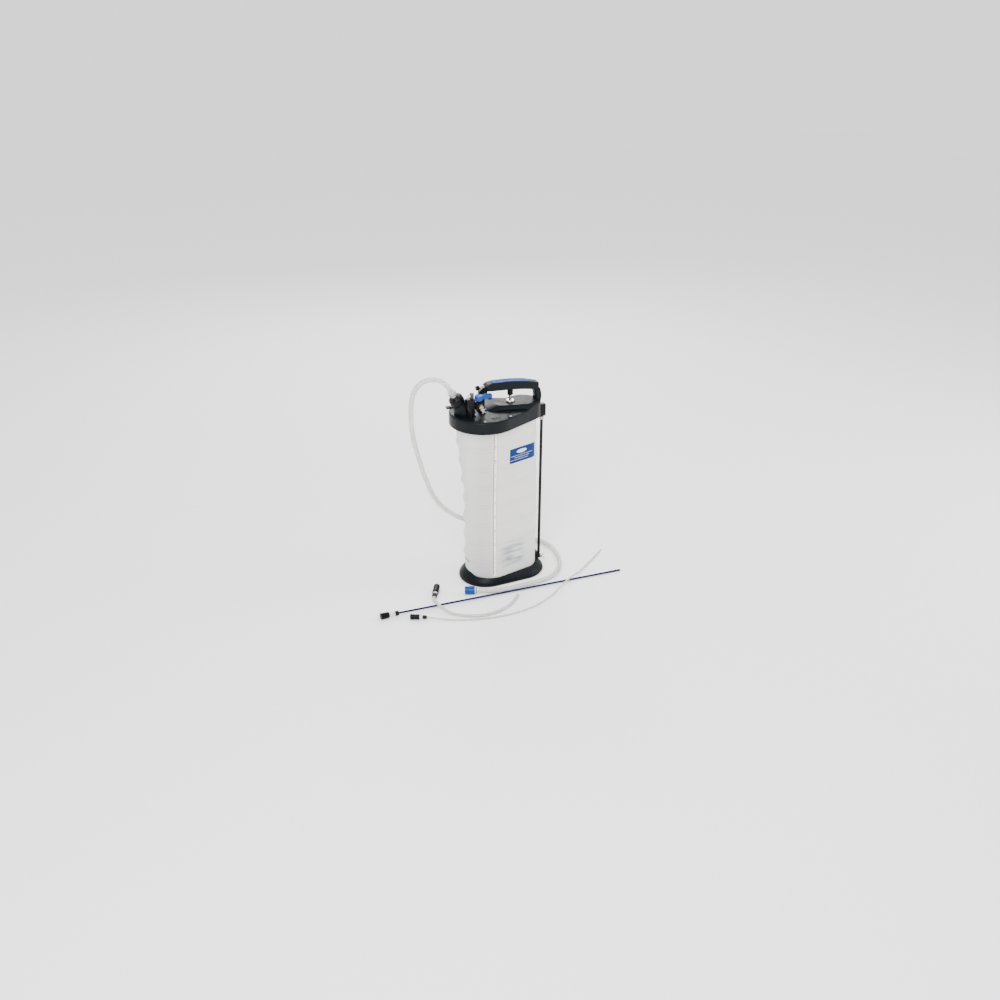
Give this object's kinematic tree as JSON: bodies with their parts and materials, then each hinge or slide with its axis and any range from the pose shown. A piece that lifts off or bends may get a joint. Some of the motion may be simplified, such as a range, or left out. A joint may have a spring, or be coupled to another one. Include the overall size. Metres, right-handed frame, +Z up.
{
  "type": "hand vacuum extractor",
  "caption": "Hand vacuum fluid extractor: ribbed translucent tank in a rubber boot, lever-pump lid with air venturi and valve, suction hose and loose probes.",
  "frame": {"origin": "on the ground, at the middle of the boot's underside between the tank's two lobes", "axes": "+Z up, +X towards the narrow end of the tank where the lever hinges, -Y the front with the label"},
  "size_m": [0.7579, 0.3907, 0.6507],
  "materials": {
    "blue_plastic": "moulded blue nylon, glossy",
    "boot_rubber": "moulded black rubber, satin",
    "brass": "turned brass",
    "chrome": "bright chrome plate",
    "dark_cast": "black anodised block",
    "grip_black": "moulded black plastic",
    "grip_blue": "soft blue grip inlay",
    "handle_black": "glass-filled nylon, satin",
    "hose_clear": "clear soft PVC",
    "inner_plastic": "natural polypropylene",
    "label_blue": "printed blue label, glossy",
    "lid_plastic": "moulded black polypropylene, satin",
    "nickel": "nickel-plated steel, turned",
    "probe_blue": "dark blue rigid tube, glossy",
    "probe_clear": "clear nylon tube",
    "pump_alloy": "drawn aluminium",
    "ring_white": "white moulded plastic",
    "rod_black": "black enamelled steel, glossy",
    "scale_ink": "printed level strip, off-white with red marks",
    "seal_rubber": "nitrile rubber",
    "silencer_grey": "grey sintered filter",
    "tank_plastic": "translucent blow-moulded polyethylene",
    "zinc_steel": "zinc-plated steel"
  },
  "bodies": {
    "root": {"air_plug": "nickel", "air_valve": "dark_cast", "base_boot": "boot_rubber", "brass_adapter": "brass", "cylinder_cap": "inner_plastic", "drop_tube": "inner_plastic", "float_cage": "inner_plastic", "foot_bolt": "zinc_steel", "handle_pillar": "handle_black", "hose_clamp": "ring_white", "hose_connector": "blue_plastic", "hose_ring_blue": "blue_plastic", "hose_rings_white": "ring_white", "inlet_boss": "lid_plastic", "inlet_tail": "nickel", "intake_flap": "seal_rubber", "label_plate": "label_blue", "latch_bushing": "chrome", "latch_post": "handle_black", "lid": "lid_plastic", "lid_screws": "zinc_steel", "pillar_screw": "nickel", "probe_collars": "ring_white", "probe_grips": "grip_black", "probe_nuts": "grip_black", "pump_cylinder": "pump_alloy", "relief_spring": "zinc_steel", "rigid_barb": "ring_white", "rigid_tube": "probe_blue", "rod_gland": "nickel", "rod_seal": "seal_rubber", "scale_strip": "scale_ink", "silencer": "silencer_grey", "suction_hose": "hose_clear", "tank": "tank_plastic", "tank_gasket": "seal_rubber", "thick_tube": "probe_clear", "thin_tube": "probe_clear", "tie_ferrule": "nickel", "tie_holder": "grip_black", "tie_rod": "rod_black", "venturi_block": "dark_cast"},
    "lever": {"handle_lever": "handle_black", "handle_inlay": "grip_blue", "handle_pin": "nickel"},
    "rod": {"pump_rod": "chrome", "rod_clevis": "handle_black", "clevis_pin": "nickel", "piston": "inner_plastic", "piston_seal": "seal_rubber", "piston_nut": "zinc_steel", "exhaust_flap": "seal_rubber"},
    "latch": {"latch_pin": "chrome", "latch_knob": "grip_black"},
    "air_handle": {"valve_handle": "blue_plastic", "valve_spindle": "nickel"},
    "relief": {"relief_button": "chrome"},
    "float": {"float_ball": "ring_white"},
    "swivel_nut": {"inlet_nut": "grip_black"},
    "wing": {"wing_nut": "nickel"}
  },
  "joints": [
    {"name": "lever_hinge", "type": "hinge", "parent": "root", "child": "lever", "pos_m": [0.108, 0, 0.584], "axis": [0, 1, 0], "range_deg": [0, 30]},
    {"name": "rod_slide", "type": "slide", "parent": "root", "child": "rod", "axis": [0, 0, 1], "range_m": [0, 0.0446]},
    {"name": "latch_slide", "type": "slide", "parent": "root", "child": "latch", "axis": [1, 0, 0], "range_m": [0, 0.005]},
    {"name": "air_valve_turn", "type": "hinge", "parent": "root", "child": "air_handle", "pos_m": [-0.077, -0.031, 0.578], "axis": [0, 0, 1], "range_deg": [-90, 0]},
    {"name": "relief_press", "type": "slide", "parent": "root", "child": "relief", "axis": [0, 0, -1], "range_m": [0, 0.002], "stiffness_N_per_m": 400, "springref_m": -0.001, "deforming": ["relief_spring"]},
    {"name": "float_rise", "type": "slide", "parent": "root", "child": "float", "axis": [0, 0, 1], "range_m": [0, 0.017]},
    {"name": "swivel_turn", "type": "hinge", "parent": "root", "child": "swivel_nut", "pos_m": [-0.118, 0, 0.552], "axis": [-0.5, 0, 0.866], "continuous": true},
    {"name": "wing_turn", "type": "hinge", "parent": "root", "child": "wing", "pos_m": [0.135, 0, 0.026], "axis": [1, 0, 0], "continuous": true}
  ],
  "couplings": [
    {"joint": "rod_slide", "follows": "lever_hinge", "m_per_rad": 0.0848}
  ]
}
